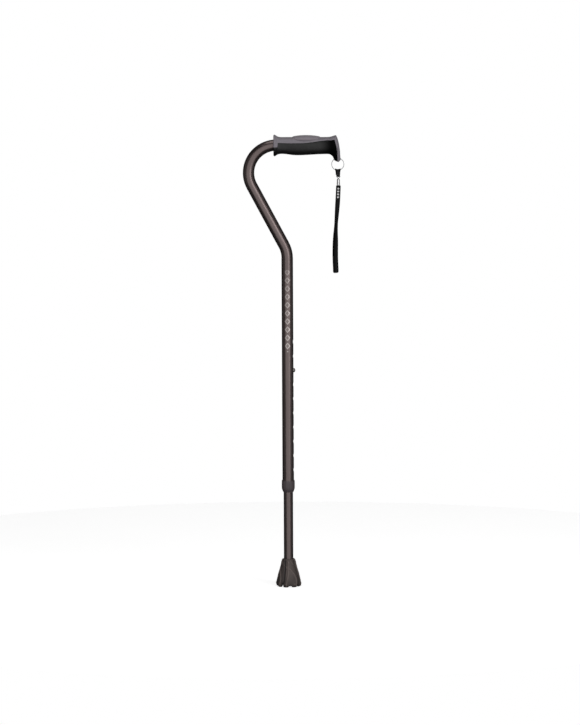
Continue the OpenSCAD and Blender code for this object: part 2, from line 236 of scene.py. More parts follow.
def smooth_path(points, per_span):
    """A Catmull-Rom curve through 3-D points."""
    pts = np.array(points, float)
    last = len(pts) - 1
    out = []
    for i in range(last):
        p0, p1, p2, p3 = (pts[min(max(i + k, 0), last)] for k in (-1, 0, 1, 2))
        for t in np.linspace(0, 1, per_span, endpoint=False):
            low_terms = 2 * p1 + (p2 - p0) * t + (2 * p0 - 5 * p1 + 4 * p2 - p3) * t**2
            out.append(0.5 * (low_terms + (3 * p1 - p0 - 3 * p2 + p3) * t**3))
    return np.array([*out, pts[-1]])


def joined(name, parts):
    """One object from several, which are removed."""
    bm = bmesh.new()
    for part in parts:
        bm.from_mesh(part.data)
        bpy.data.objects.remove(part)
    mesh = bpy.data.meshes.new(name)
    bm.to_mesh(mesh)
    bm.free()
    obj = bpy.data.objects.new(name, mesh)
    bpy.context.scene.collection.objects.link(obj)
    return obj


def cut_away(obj, cutter):
    """Cuts one closed mesh out of another and removes the cutter."""
    modifier = obj.modifiers.new("cut", "BOOLEAN")
    modifier.operation = "DIFFERENCE"
    modifier.solver = "EXACT"
    modifier.object = cutter
    shape = obj.evaluated_get(bpy.context.evaluated_depsgraph_get())
    mesh = bpy.data.meshes.new_from_object(shape)
    obj.modifiers.clear()
    old = obj.data
    obj.data = mesh
    bpy.data.meshes.remove(old)
    bpy.data.objects.remove(cutter)


def smooth_below(obj, degrees):
    """Smooth shading that breaks at edges sharper than an angle."""
    bm = bmesh.new()
    bm.from_mesh(obj.data)
    for face in bm.faces:
        face.smooth = True
    for edge in bm.edges:
        edge.smooth = not (edge.is_manifold and edge.calc_face_angle(0.0) > math.radians(degrees))
    bm.to_mesh(obj.data)
    bm.free()


# ---- materials


class Shader:
    """A node material in a few calls. Numbers that don't vary are set on the shader itself."""

    def __init__(self, name, **inputs):
        self.material = bpy.data.materials.new(name)
        self.material.use_nodes = True
        self.tree = self.material.node_tree
        self.surface = self.tree.nodes["Principled BSDF"]
        for key, value in inputs.items():
            self.surface.inputs[key.replace("_", " ")].default_value = value

    def add(self, kind, **settings):
        node = self.tree.nodes.new("ShaderNode" + kind)
        for key, value in settings.items():
            if hasattr(node, key):
                setattr(node, key, value)
            else:
                node.inputs[key.replace("_", " ")].default_value = value
        return node

    def link(self, out, socket):
        self.tree.links.new(out, socket)

    def place(self, scale=(1, 1, 1)):
        """Object coordinates in metres, times scale."""
        mapping = self.add("Mapping")
        mapping.inputs["Scale"].default_value = scale
        self.link(self.add("TexCoord").outputs["Object"], mapping.inputs["Vector"])
        return mapping.outputs["Vector"]

    def noise(self, scale, detail=3.0, rough=0.5, vector=None, distortion=0.0):
        node = self.add("TexNoise", Scale=scale, Detail=detail, Roughness=rough)
        node.inputs["Distortion"].default_value = distortion
        self.link(vector or self.place(), node.inputs["Vector"])
        return node.outputs["Fac"]

    def math(self, operation, a, b=None):
        node = self.add("Math", operation=operation)
        for i, value in enumerate([a, b]):
            if value is None:
                continue
            if isinstance(value, (int, float)):
                node.inputs[i].default_value = value
            else:
                self.link(value, node.inputs[i])
        return node.outputs[0]

    def plus(self, a, b):
        return self.math("ADD", a, b)

    def times(self, a, b):
        return self.math("MULTIPLY", a, b)

    def spread(self, value, low, high, to_low=0.0, to_high=1.0, smooth=False):
        node = self.add("MapRange")
        node.interpolation_type = "SMOOTHSTEP" if smooth else "LINEAR"
        for key, number in zip(
            ["From Min", "From Max", "To Min", "To Max"], [low, high, to_low, to_high]
        ):
            node.inputs[key].default_value = number
        self.link(value, node.inputs["Value"])
        return node.outputs["Result"]

    def mix(self, factor, a, b):
        """A colour between a and b, each a colour or a socket."""
        node = self.add("Mix", data_type="RGBA")
        self.link(factor, node.inputs[0])
        for socket, value in ((node.inputs[6], a), (node.inputs[7], b)):
            if isinstance(value, (tuple, list)):
                socket.default_value = (*value, 1.0)
            else:
                self.link(value, socket)
        return node.outputs[2]

    def bump(self, height, distance_mm):
        """Adds a bump on top of the ones already made."""
        node = self.add("Bump", Strength=1.0, Distance=distance_mm * MM)
        self.link(height, node.inputs["Height"])
        normal = self.surface.inputs["Normal"]
        if normal.is_linked:
            self.link(normal.links[0].from_socket, node.inputs["Normal"])
        self.link(node.outputs["Normal"], normal)

    def axes(self):
        """The object coordinates X, Y and Z, in metres."""
        split = self.add("SeparateXYZ")
        self.link(self.add("TexCoord").outputs["Object"], split.inputs[0])
        return split.outputs["X"], split.outputs["Y"], split.outputs["Z"]

    def tone(self):
        """The colour that has been linked so far."""
        return self.surface.inputs["Base Color"].links[0].from_socket

    def colour(self, socket):
        self.link(socket, self.surface.inputs["Base Color"])

    def roughness(self, socket):
        self.link(socket, self.surface.inputs["Roughness"])

    def wear(self, low, high):
        """A mask that rises along convex edges."""
        node = self.add("NewGeometry")
        return self.spread(node.outputs["Pointiness"], low, high, smooth=True)

    def uv(self):
        """(u, v) in millimetres across and along a strip of webbing."""
        node = self.add("UVMap", uv_map="weave")
        split = self.add("SeparateXYZ")
        self.link(node.outputs["UV"], split.inputs[0])
        return split.outputs["X"], split.outputs["Y"]


def shade(obj, material):
    obj.data.materials.clear()
    obj.data.materials.append(material)


def shade_cad(node, material):
    """Gives a CAD node's own slots a new material."""
    for slot in nodes[node].material_slots:
        slot.material = material


BRONZE, BRONZE_LIGHT = (0.135, 0.106, 0.104), (0.170, 0.136, 0.132)
BARE_METAL = (0.42, 0.37, 0.35)
PALE_PRINT = (0.62, 0.57, 0.55)
PRINT_LOW, PRINT_HIGH = 0.420, 0.566  # heights between which the front is decorated, in metres
PRINT_PITCH = 0.0146
PRINT_HALF_W = 0.0050


def tube_material(name, printed=False):
    """Satin bronze anodised tube: drawing lines along it, faint blotches and small scuffs."""
    s = Shader(name, Metallic=0.95, IOR=1.5, Coat_Weight=0.04, Coat_Roughness=0.3)
    blotch = s.noise(9, 4, 0.55)
    lines = s.noise(1, 3, 0.6, s.place((2600, 2600, 18)))
    speck = s.noise(1400, 3, 0.6)
    tone = s.plus(s.times(blotch, 0.6), s.times(lines, 0.4))
    body = s.mix(s.spread(tone, 0.3, 0.7), BRONZE, BRONZE_LIGHT)
    scuff = s.spread(s.noise(55, 6, 0.72, distortion=0.6), 0.66, 0.8)
    body = s.mix(s.times(scuff, 0.35), body, BARE_METAL)
    if printed:
        body = s.mix(print_mask(s), body, PALE_PRINT)
    s.colour(body)
    rubbed = s.plus(lines, s.times(scuff, 0.5))
    s.roughness(s.spread(rubbed, 0.2, 0.9, 0.27, 0.37))
    s.bump(lines, 0.012)
    s.bump(speck, 0.010)
    return s.material


def lozenges(s, across, along, half_w, pitch, steep):
    """A row of lozenges: 0 at the middle of each one and 1 at its edge."""
    step = s.math("FRACT", s.math("DIVIDE", along, pitch))
    lengthways = s.times(s.math("ABSOLUTE", s.math("SUBTRACT", step, 0.5)), steep)
    return s.plus(lengthways, s.math("DIVIDE", s.math("ABSOLUTE", across), half_w))


def kept_between(s, mask, value, low, high):
    """A mask that is 0 where a value is out of range."""
    mask = s.times(mask, s.math("GREATER_THAN", value, low))
    return s.times(mask, s.math("LESS_THAN", value, high))


def print_mask(s):
    """A plain ladder of open lozenges printed up the front of the tube, fainter towards its top."""
    x, y, z = s.axes()
    reach = lozenges(s, x, z, PRINT_HALF_W, PRINT_PITCH, 2.4)
    mask = s.times(s.spread(reach, 0.92, 1.06, 1, 0), s.spread(reach, 0.56, 0.70, 0.22, 1))
    mask = s.times(mask, s.math("LESS_THAN", y, -0.004))
    mask = kept_between(s, mask, z, PRINT_LOW, PRINT_HIGH)
    return s.times(mask, s.spread(z, PRINT_LOW, PRINT_HIGH, 0.8, 0.38))


def moulded_material(name, dark, light, rough, grain_mm, grain, **extra):
    """Moulded rubber or plastic: fine grain, soft cloudy tone, paler worn edges.

    rough is a range, grain_mm the grain's depth and grain its noise scale."""
    s = Shader(name, **extra)
    cloud = s.noise(28, 4, 0.6)
    fine = s.noise(grain, 2, 0.5)
    tone = s.mix(s.spread(cloud, 0.3, 0.7), dark, light)
    worn = s.times(s.wear(0.51, 0.6), s.spread(s.noise(160, 3, 0.6), 0.35, 0.7))
    edge = tuple(min(1.0, c * 1.5 + 0.012) for c in light)
    tone = s.mix(s.times(worn, 0.5), tone, edge)
    s.colour(tone)
    s.roughness(s.spread(s.noise(70, 4, 0.6), 0.3, 0.7, *rough))
    s.bump(fine, grain_mm)
    return s


def leather_grain(s, cell, depth_mm):
    """Pebbled soft-touch texture."""
    cells = s.add("TexVoronoi", feature="DISTANCE_TO_EDGE", Scale=cell)
    s.link(s.place(), cells.inputs["Vector"])
    s.bump(s.spread(cells.outputs["Distance"], 0.0, 0.35, smooth=True), depth_mm)


def chrome_material(name, tint):
    """Polished plating with hairline scratches and faint clouding."""
    s = Shader(name, Metallic=1.0, Base_Color=(*tint, 1.0))
    scratches = s.noise(1, 4, 0.7, s.place((900, 900, 5200)))
    s.roughness(s.spread(s.noise(240, 4, 0.65), 0.3, 0.75, 0.08, 0.2))
    s.bump(scratches, 0.004)
    return s.material


def steel_material(name, tint, rough):
    """Plain worked steel: directional brushing and light mottling."""
    s = Shader(name, Metallic=1.0)
    brush = s.noise(1, 3, 0.6, s.place((4000, 4000, 300)))
    mottled = s.noise(300, 4, 0.6)
    darker = tuple(c * 0.78 for c in tint)
    s.colour(s.mix(s.spread(mottled, 0.3, 0.7), darker, tint))
    s.roughness(s.spread(brush, 0.3, 0.7, rough, rough + 0.14))
    s.bump(brush, 0.006)
    return s.material


WEB_DARK = (0.0015, 0.0015, 0.0016)
WEB_LIGHT = (0.007, 0.007, 0.0075)


def webbing_material(name, ends_per_mm, picks_per_mm, band_tone, marks=None):
    """Woven nylon webbing: two sets of threads that cross, with fuzz and a paler middle band.

    marks is (v start, v end, count): plain lozenges woven in a lighter thread."""
    s = Shader(name, Specular_IOR_Level=0.10, Sheen_Weight=0.02, Sheen_Roughness=0.45)
    u, v = s.uv()
    warp = s.math("SINE", s.times(u, TAU * ends_per_mm / 2))
    weft = s.math("SINE", s.times(v, TAU * picks_per_mm / 2))
    knot = s.times(warp, weft)
    fuzz = s.noise(2600, 3, 0.6)
    height = s.plus(s.times(knot, 0.5), s.times(fuzz, 0.5))
    tone = s.mix(s.spread(height, -0.3, 0.8), WEB_DARK, WEB_LIGHT)
    band = s.spread(s.math("ABSOLUTE", u), 1.0, 2.6, 0.8, 0.0)
    tone = s.mix(band, tone, (band_tone, band_tone, band_tone * 1.05))
    if marks:
        tone = s.mix(woven_marks(s, u, v, *marks), tone, (0.85, 0.85, 0.85))
    s.colour(tone)
    s.roughness(s.spread(fuzz, 0.3, 0.7, 0.6, 0.8))
    s.bump(height, 0.16)
    return s.material


def woven_marks(s, u, v, start, end, count):
    """A mask of count lozenges between two places along the webbing."""
    reach = lozenges(s, u, s.math("SUBTRACT", v, start), 2.3, (end - start) / count, 2.3)
    mask = kept_between(s, s.spread(reach, 0.85, 1.0, 1, 0), v, start, end)
    return s.times(mask, 0.9)


def thread_material(name, tint):
    """Bonded thread: a tight twist along each stitch."""
    s = Shader(name, Roughness=0.6, Sheen_Weight=0.3)
    twist = s.add("TexWave", wave_type="BANDS", bands_direction="DIAGONAL", Scale=900.0)
    s.link(s.place(), twist.inputs["Vector"])
    darker = tuple(c * 0.5 for c in tint)
    s.colour(s.mix(twist.outputs["Fac"], darker, tint))
    s.bump(twist.outputs["Fac"], 0.05)
    return s.material


# ---- rubber tip

FOOT_ANGLE = math.radians(8.5)  # from the front to the middle of the first foot
HALF_TOE = TAU / 16  # half the angle between two toes
# The bell's radius: (height, millimetres)
BELL = [
    (3, 20.2), (6.6, 20.6), (10.2, 20.3), (13.8, 19.5), (17.3, 18.7), (20.9, 17.8), (24.5, 16.8),
    (28, 15.7), (31.6, 14.6), (35.2, 13.6), (38.8, 12.7), (42.3, 12.0), (46, 11.4), (47.6, 10.7),
]
# Lines down one foot: (height, degrees from the foot's middle); each repeats on all four feet
LEFT_RIDGE = [(0, -20), (6, -19), (14, -15), (29, -9.5), (42, -10), (47, -18)]
RIGHT_RIDGE = [(0, 31), (6, 33), (12.9, 34.5), (21.9, 27), (31.8, 2), (37, -8)]
UPPER_RIDGE = [(30, 76), (36, 60), (40, 29), (47, 6)]
VALLEY = [(0, -44), (5, -41), (12, -33), (30, -33), (47, -42)]
TIP_ANGLES = np.linspace(0, TAU, 560, endpoint=False)
TIP_SOCKET_R = 8.38
SHOULDER_Z = 46.0  # where the bell's side turns in to its top
TOP_R = 9.3  # radius of the flat top's outer edge
RIM_R = 3.2  # rounding of the rim's outer edge
RIM_OUTER_R, RIM_FLAT_R, RIM_INNER_R = 18.6, 17.6, 15.4
ARCH_H, NOTCH_H = 3.4, 7.0
CEILING_Z = 9.4  # top of the hollow under the bell
# The foot in the middle of the hollow: (radius, height)
CENTRE_FOOT = [(5.6, CEILING_Z), (5.0, 3.5), (4.75, 0.6), (4.55, 0.15), (4.1, 0.0), (0.0, 0.0)]
# The tip's colour in its painted shade and in its painted light
TIP_PAINTED_SHADE, TIP_PAINTED_LIGHT = (0.030, 0.0235, 0.023), (0.225, 0.182, 0.168)


def arc_gap(angle, centre, count):
    """The unsigned angle from the nearest of count evenly spaced directions."""
    step = TAU / count
    return np.abs((angle - centre + step / 2) % step - step / 2)


def off_line(line, angle, z):
    """Arc length in millimetres from a line that repeats on the four feet."""
    gap = arc_gap(angle, FOOT_ANGLE + np.radians(curve_through(line, z)), 4)
    return gap * curve_through(BELL, z)


def bump_at(distance, width):
    """1 at no distance, falling off smoothly over a width."""
    return np.exp(-((distance / width) ** 2))


def off_toe(angle):
    """0 at the middle of a toe, 1 half way to the next one."""
    return arc_gap(angle, FOOT_ANGLE + HALF_TOE, 8) / HALF_TOE


def tip_ridges(angle, z):
    """How much of a raised ridge there is at a place on the bell, 0 to 1."""
    high_up = smoothstep(48.5, 44.5, z)
    left = bump_at(off_line(LEFT_RIDGE, angle, z), 1.15) * high_up
    right = bump_at(off_line(RIGHT_RIDGE, angle, z), 1.25) * smoothstep(36, 31, z)
    upper = bump_at(off_line(UPPER_RIDGE, angle, z), 1.1) * smoothstep(31, 36, z) * high_up
    return np.maximum(np.maximum(left, right), 0.7 * upper)


def tip_valley(angle, z):
    """How much of the hollow between two feet there is, 0 to 1."""
    return bump_at(off_line(VALLEY, angle, z), 1.5) * smoothstep(48.5, 44.5, z)


def past_valley(angle, z):
    """How far round from one valley to the next a place is, 0 to 1."""
    return (angle - FOOT_ANGLE - np.radians(curve_through(VALLEY, z))) % (TAU / 4) / (TAU / 4)


def paint_tip_light_and_shade(obj):
    """Paints light and shade as a tone on each vertex: painted highlights on the ridges and the
    toes' beads, painted shade in the valleys and near the ground, and a painted gradient across
    each foot's face.
    """
    verts = np.array([v.co for v in obj.data.vertices]) / MM
    angle = np.arctan2(verts[:, 0], -verts[:, 1])
    z = verts[:, 2]
    past = past_valley(angle, z)
    # Painted light across each foot's face: lightest just past the valley before it, fading towards
    # the next valley
    face = (1 - past) * smoothstep(0.0, 0.08, past) * smoothstep(6, 26, z)
    # Painted highlight: a small glint on each toe's bead
    toe_glint = bump_at(off_toe(angle), 0.22) * bump_at(z - 5.4, 1.6)
    # Painted highlights on the ridges, painted shade in the valleys, and painted shade darker near
    # the ground
    tone = 0.26 + 0.42 * face + 0.5 * tip_ridges(angle, z) - 0.42 * tip_valley(angle, z)
    tone = tone + 0.35 * toe_glint - 0.3 * smoothstep(3.2, 1.2, z)
    layer = obj.data.attributes.new("relief", "FLOAT", "POINT")
    layer.data.foreach_set("value", np.clip(tone, 0, 1).astype(np.float32))


def bell_radius(angles, z):
    """The bell's radius with its ridges, the hollows between them and the toes."""
    panel = bump_at(arc_gap(angles, FOOT_ANGLE, 4) * 20, 3.5) * smoothstep(24, 16, z)
    toe = bump_at(off_toe(angles), 0.4) * bump_at(z - 5.0, 3.6)
    relief = 1.3 * tip_ridges(angles, z) - 1.55 * tip_valley(angles, z) - 0.5 * panel + 1.3 * toe
    return curve_through(BELL, z) + relief


def rim_height():
    """The height of the rim's lower edge: on the ground at a toe, with a low arch between the
    toes of one foot and a high notch between two feet."""
    toes = off_toe(TIP_ANGLES)
    arch = ARCH_H * smoothstep(0.30, 1.0, toes)
    notch = NOTCH_H * smoothstep(0.55, 1.0, toes) ** 1.2
    return np.where(arc_gap(TIP_ANGLES, FOOT_ANGLE, 4) < HALF_TOE, arch, notch)


def tip_rings():
    """(radius, height) at each angle, from the socket's floor over the top and down the bell's
    side to its rim, then up inside it and down again to the middle foot."""
    angles = TIP_ANGLES
    top = box_mm("tip_boot")[1][2]
    socket_z = box_mm("tip_washer")[0][2]
    edge = rim_height()
    yield 0.0, socket_z
    yield TIP_SOCKET_R - 0.4, socket_z
    yield TIP_SOCKET_R, socket_z + 0.4
    for z in np.linspace(socket_z + 4, top - 0.8, 6):
        yield TIP_SOCKET_R, z
    for turn in np.linspace(0, math.pi / 2, 5):
        yield TIP_SOCKET_R + 0.5 * (1 - math.cos(turn)), top - 0.5 * (1 - math.sin(turn))
    shoulder = bell_radius(angles, np.full(angles.shape, SHOULDER_Z))
    for turn in np.linspace(0, math.pi / 2, 7)[:-1]:
        drop = (top - SHOULDER_Z) * math.cos(turn)
        yield TOP_R + (shoulder - TOP_R) * math.sin(turn), SHOULDER_Z + drop
    rim = edge + RIM_R
    for t in np.linspace(0, 1, 46):
        z = SHOULDER_Z + (rim - SHOULDER_Z) * t
        yield bell_radius(angles, z), z
    rim_r = bell_radius(angles, rim)
    for turn in np.linspace(0, math.pi / 2, 7)[1:]:
        r = RIM_OUTER_R + (rim_r - RIM_OUTER_R) * math.cos(turn)
        yield r, edge + RIM_R * (1 - math.sin(turn))
    yield RIM_FLAT_R, edge
    for turn in np.linspace(0, math.pi / 2, 5)[1:]:
        r = RIM_INNER_R + (RIM_FLAT_R - RIM_INNER_R) * math.cos(turn)
        yield r, edge + 1.6 * math.sin(turn) ** 2
    for t in (0.5, 1.0):
        yield RIM_INNER_R - 0.9 * t, edge + 1.6 + (CEILING_Z - 0.8 - edge - 1.6) * t
    yield 13.2, CEILING_Z
    yield 9.0, CEILING_Z
    yield from CENTRE_FOOT


def make_tip():
    """The bell on its four feet, as rings of points from its socket to its middle foot."""
    rows = []
    for r, z in tip_rings():
        r, z = np.broadcast_to(r, TIP_ANGLES.shape), np.broadcast_to(z, TIP_ANGLES.shape)
        rows.append(np.stack([r * np.sin(TIP_ANGLES), -r * np.cos(TIP_ANGLES), z], axis=1))
    obj = sheet_mesh("rubber_tip", rows, wrap_cols=True)
    s = moulded_material(
        "tip_rubber", (0.84, 0.84, 0.84), (1.0, 1.0, 1.0), (0.5, 0.66), 0.03, 1100,
        Specular_IOR_Level=0.3,
    )
    s.bump(s.noise(40, 5, 0.7), 0.04)
    # The vertices' painted light and shade, multiplied into the rubber's colour
    relief = s.add("Attribute", attribute_name="relief")
    product = s.add("Mix", data_type="RGBA", blend_type="MULTIPLY")
    product.inputs[0].default_value = 1.0
    s.link(s.mix(relief.outputs["Fac"], TIP_PAINTED_SHADE, TIP_PAINTED_LIGHT), product.inputs[6])
    s.link(s.tone(), product.inputs[7])
    s.colour(product.outputs[2])
    paint_tip_light_and_shade(obj)
    shade(obj, s.material)
    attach(obj, "lower_leg")
    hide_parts("tip_boot")


# ---- lock nut and button

NUT_GROOVES = 24
BUTTON_R, DOME_H = 3.8, 2.6


def make_lock_nut():
    """A collar with finger grooves, which narrows to a lip round the lower tube."""
    low, high = box_mm("lock_nut")
    radius = (high[0] - low[0]) / 2
    z0, z1 = low[2], high[2]
    bore, thread_r = 8.6, radius - 0.85
    outline = rounded(
        [
            (bore, z0), (9.1, z0), (11.2, z0 + 5.2), (radius, z0 + 8.5), (radius, z1 - 2.5),
            (radius - 0.3, z1), (thread_r, z1), (thread_r, z0 + 4.8), (bore, z0 + 1.2),
        ],
        [0.15, 0.3, 3, 3, 2, 0.35, 0.2, 0.2, 0.2],
        6,
    )
    dense = [outline[0]]
    for a, b in zip(outline, np.roll(outline, -1, axis=0)):
        steps = max(1, int(np.linalg.norm(b - a) / 0.8))
        dense += [a + (b - a) * k / steps for k in range(1, steps + 1)]

    def knurl(r, h, angle):
        depth = 0.30 * smoothstep(0.55, 1.0, abs(math.cos(angle * NUT_GROOVES / 2)))
        band = smoothstep(z0 + 3.5, z0 + 6.5, h) * smoothstep(z1 - 1.2, z1 - 2.6, h)
        return r - depth * band * (r > thread_r + 0.3)

    obj = revolve("lock_collar", dense[:-1], (0, 0, 0), sides=NUT_GROOVES * 12, radius=knurl)
    s = moulded_material(
        "nut_plastic", (0.068, 0.054, 0.058), (0.104, 0.083, 0.089), (0.42, 0.55), 0.02, 1500
    )
    shade(obj, s.material)
    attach(obj, "nut")
    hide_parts("lock_nut")


def make_button():
    """A domed button, hollow from behind, with the flange that stops it in the hole."""
    low, high = box_mm("snap_button")
    z = (low[2] + high[2]) / 2
    tip, root = high[0], low[0]
    dome = [
        (BUTTON_R * math.cos(a), tip - DOME_H + DOME_H * math.sin(a))
        for a in np.linspace(0, math.pi / 2, 12)
    ]
    flange = rounded([(4.6, root), (4.6, root + 0.8), (BUTTON_R, root + 0.8)], [0.2, 0.2, 0.15], 3)
    cup = [(0.0, root + 5.0), (2.6, root + 4.8), (3.1, root + 4.2), (3.1, root)]
    profile = np.array([*cup, *flange, *dome])
    obj = revolve("height_button", profile, (0, 0, z), axis="x", sides=72)
    shade(obj, steel_material("button_steel", (0.26, 0.25, 0.245), 0.3))
    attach(obj, "button")
    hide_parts("snap_button")


# ---- grip

GRIP_START, GRIP_END = -23.5, 95.0
# Outlines from the side, as (X, Z): the top, the underside and the line between the two shells
GRIP_TOP = [
    (-23.5, 803.8), (-22.7, 805.6), (-21.6, 805.9), (-19.6, 805.0), (-17, 803.3), (-13.7, 801.8),
    (-9, 801.3), (0, 801.3), (20, 801.4), (45, 801.3), (68, 801.1), (75, 801.3), (80.5, 802.4),
    (84.3, 803.7), (86.4, 804.2), (87.7, 803.4), (88.8, 801.2), (90.2, 797.4), (92, 790.5),
    (93.4, 782), (94.1, 776), (94.5, 770), (94.8, 765), (95.0, 762.4),
]
GRIP_BOTTOM = [
    (-23.5, 769.8), (-22.7, 768.1), (-21.6, 767.6), (-19.6, 768.4), (-17, 770.2),
    (-13.7, 771.6), (-9, 772.1), (-3, 771.8), (4, 770.9), (12, 769.8), (20, 769.5), (34, 769.9),
    (46, 770.6), (60, 771.2), (70, 771.4), (74.5, 771.2), (77.7, 770.0), (80.3, 767.7),
    (81.9, 764.6), (82.9, 761.4), (84.4, 759.9), (88.5, 757.7), (91.2, 756.8), (92.9, 757.9),
    (94.2, 759.4), (95.0, 760.8),
]
SEAM = [
    (-23.5, 785.4), (-16.3, 785.4), (-15.6, 793.5), (-10, 793.0), (5.7, 792.4), (24.1, 792.7),
    (44.7, 794.3), (60, 796.3), (72, 797.3), (79, 797.5), (83.4, 798.4), (84.7, 797.6), (86.2, 792),
    (87.7, 786.5), (89.1, 774.4), (89.7, 762.7), (90.0, 756.9), (95.0, 756.9),
]
PAD_EDGE = [
    (10, 801.3), (13, 799.2), (18, 797.4), (24, 796.2), (32, 795.6), (40, 796.0), (48, 797.4),
    (54, 799.2), (59, 801.3),
]
# Half the width seen from above: (X, millimetres)
GRIP_WIDTH = [
    (-23.5, 18.0), (-22.6, 19.0), (-21.5, 19.3), (-19.5, 18.8), (-17, 17.2), (-13.5, 15.6),
    (-6, 15.3), (14, 16.0), (34, 16.8), (56, 16.0), (70, 15.4), (80, 15.8), (86.5, 16.2),
    (90, 15.4), (93, 13.6), (95.0, 11),
]
# How square a section is: 2 is an ellipse, and more is squarer
SQUARENESS = [
    (-23.5, 2.0), (-18, 2.0), (-13, 2.7), (20, 2.6), (70, 2.6), (84, 3.2), (92, 2.6), (95.0, 2.0),
]
AXIS_Z = 787.4  # the tube's axis
BORE_R = 10.3
BORE_END = 79.0
BODY_END = 89.96  # where the lower body stops short of the tongue's face
TONGUE_HALF_W = 5.4
ARC_POINTS = 61
LIP_POINTS = 4  # points across the shell's edge, between its skin and its bore
GROOVE_W, GROOVE_D = 1.1, 0.42  # the dip along the seam, and its depth
MEAN_R = 14.0  # turns an angle round a section into a length
PAD_X, PAD_HALF_L = 34.5, 24.5


def grip_middle(x):
    """The height of the grip's middle at X, and half its height there."""
    top, bottom = curve_through(GRIP_TOP, x), curve_through(GRIP_BOTTOM, x)
    return (top + bottom) / 2, (top - bottom) / 2


def half_width(x, z):
    """Half the grip's width: a round collar, a body that swells under the palm, and an end
    that narrows down to the tongue."""
    body = curve_through(GRIP_WIDTH, x)
    tongue = TONGUE_HALF_W + (body - TONGUE_HALF_W) * smoothstep(757, 786, z) ** 0.85
    return body + (tongue - body) * smoothstep(72, 84, x)


def grip_point(x, angle, inset=0.0):
    """A point on the grip's skin. The angle runs round the section from +Y over the top."""
    centre, half = grip_middle(x)
    half = max(half - inset, 0.0)
    power = 2 / curve_through(SQUARENESS, x)
    c, s = math.cos(angle), math.sin(angle)
    z = centre + half * math.copysign(abs(s) ** power, s)
    y = max(half_width(x, z) - inset, 0.0) * math.copysign(abs(c) ** power, c)
    return np.array([x, y * min(1.0, half / 1.5), z])


def seam_angle(x, height):
    """The angle at which the skin reaches a height."""
    centre, half = grip_middle(x)
    t = np.clip((height - centre) / half, -0.999, 0.999)
    return math.asin(math.copysign(abs(t) ** (curve_through(SQUARENESS, x) / 2), t))


def grip_stations():
    """Places along the grip, close together where its outline turns."""
    return np.unique(
        np.concatenate(
            [
                np.linspace(GRIP_START, -21, 9), np.linspace(-21, -17, 9),
                np.linspace(-16.6, -15.2, 8), np.linspace(-15, 70, 60), np.linspace(70, 84, 40),
                np.linspace(84, 90.4, 36), GRIP_END - 4.6 * np.linspace(1, 0, 30) ** 2,
            ]
        )
    )


def shell_skin(x, start, span):
    """The outside of a shell's section, over an arc of span from the angle start."""
    spread = np.linspace(-1, 1, ARC_POINTS)
    along = (np.sign(spread) * (1 - (1 - np.abs(spread)) ** 1.6) + 1) / 2  # closer at the seams
    skin = []
    for t in along:
        from_seam = min(t, 1 - t) * MEAN_R * abs(span)
        inset = GROOVE_D * (1 - min(from_seam / GROOVE_W, 1.0)) ** 2 * smoothstep(94.9, 92.8, x)
        skin.append(grip_point(x, start + span * t, inset))
    return skin


def shell_bore(x, edge_y, edge_z, upper):
    """The inside of a shell's section: its two lips and the arc round the tube between them.
    Past the tube's end the arc shrinks to a point, so that the shell is solid there."""
    bore = BORE_R if x < BORE_END else 0.02
    axis = AXIS_Z if x < BORE_END else edge_z
    meet = math.asin(np.clip((edge_z - axis) / bore, -1, 1))
    arc = math.pi - 2 * meet if upper else -(math.pi + 2 * meet)
    inner = []
    for k in range(ARC_POINTS):
        from_end = min(k, ARC_POINTS - 1 - k)
        if from_end < LIP_POINTS:
            side = 1 if k < LIP_POINTS else -1
            y = edge_y + (bore * math.cos(meet) - edge_y) * from_end / LIP_POINTS
            inner.append((x, side * y, edge_z))
        else:
            t = (k - LIP_POINTS) / (ARC_POINTS - 1 - 2 * LIP_POINTS)
            z = axis + bore * math.sin(meet + arc * t)
            z = z if upper else min(z, edge_z)
            inner.append((x, bore * math.cos(meet + arc * t), z))
    return inner


def grip_shell(name, upper):
    """The cover (upper) or the body of the grip, a closed solid with its hollow for the tube."""
    rows = []
    stations = grip_stations()
    if not upper:
        stations = stations[stations < BODY_END]
    for x in stations:
        start = seam_angle(x, curve_through(SEAM, x))
        span = math.pi - 2 * start if upper else -(math.pi + 2 * start)
        skin = shell_skin(x, start, span)
        bore = shell_bore(x, abs(skin[0][1]), skin[0][2], upper)
        rows.append(np.array([*skin, *bore[::-1]]))
    count = 2 * ARC_POINTS
    faces = []
    for r in range(len(rows) - 1):
        for c in range(count):
            a, b = r * count + c, r * count + (c + 1) % count
            faces.append([a, b, b + count, a + count])
    for base in (0, (len(rows) - 1) * count):
        for k in range(ARC_POINTS - 1):
            faces.append([base + k, base + k + 1, base + count - 2 - k, base + count - 1 - k])
    obj = clean(new_object(name, np.concatenate(rows), faces), 0.004)
    cut_away(obj, revolve("cutter", RING_HOLE, (0, 0, RING_HOLE_Z), sides=48, axis="x"))
    smooth_below(obj, 38)
    return obj


def make_grip_cover():
    """The mauve upper shell, from the collar to the hook's tip."""
    cover = grip_shell("grip_top_cover", True)
    s = moulded_material(
        "grip_mauve", (0.205, 0.185, 0.212), (0.262, 0.240, 0.268), (0.55, 0.7), 0.02, 1800,
        Specular_IOR_Level=0.35, Sheen_Weight=0.15,
    )
    leather_grain(s, 620, 0.035)
    shade(cover, s.material)
    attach(cover, "upper_frame")
    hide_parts("grip_cover")


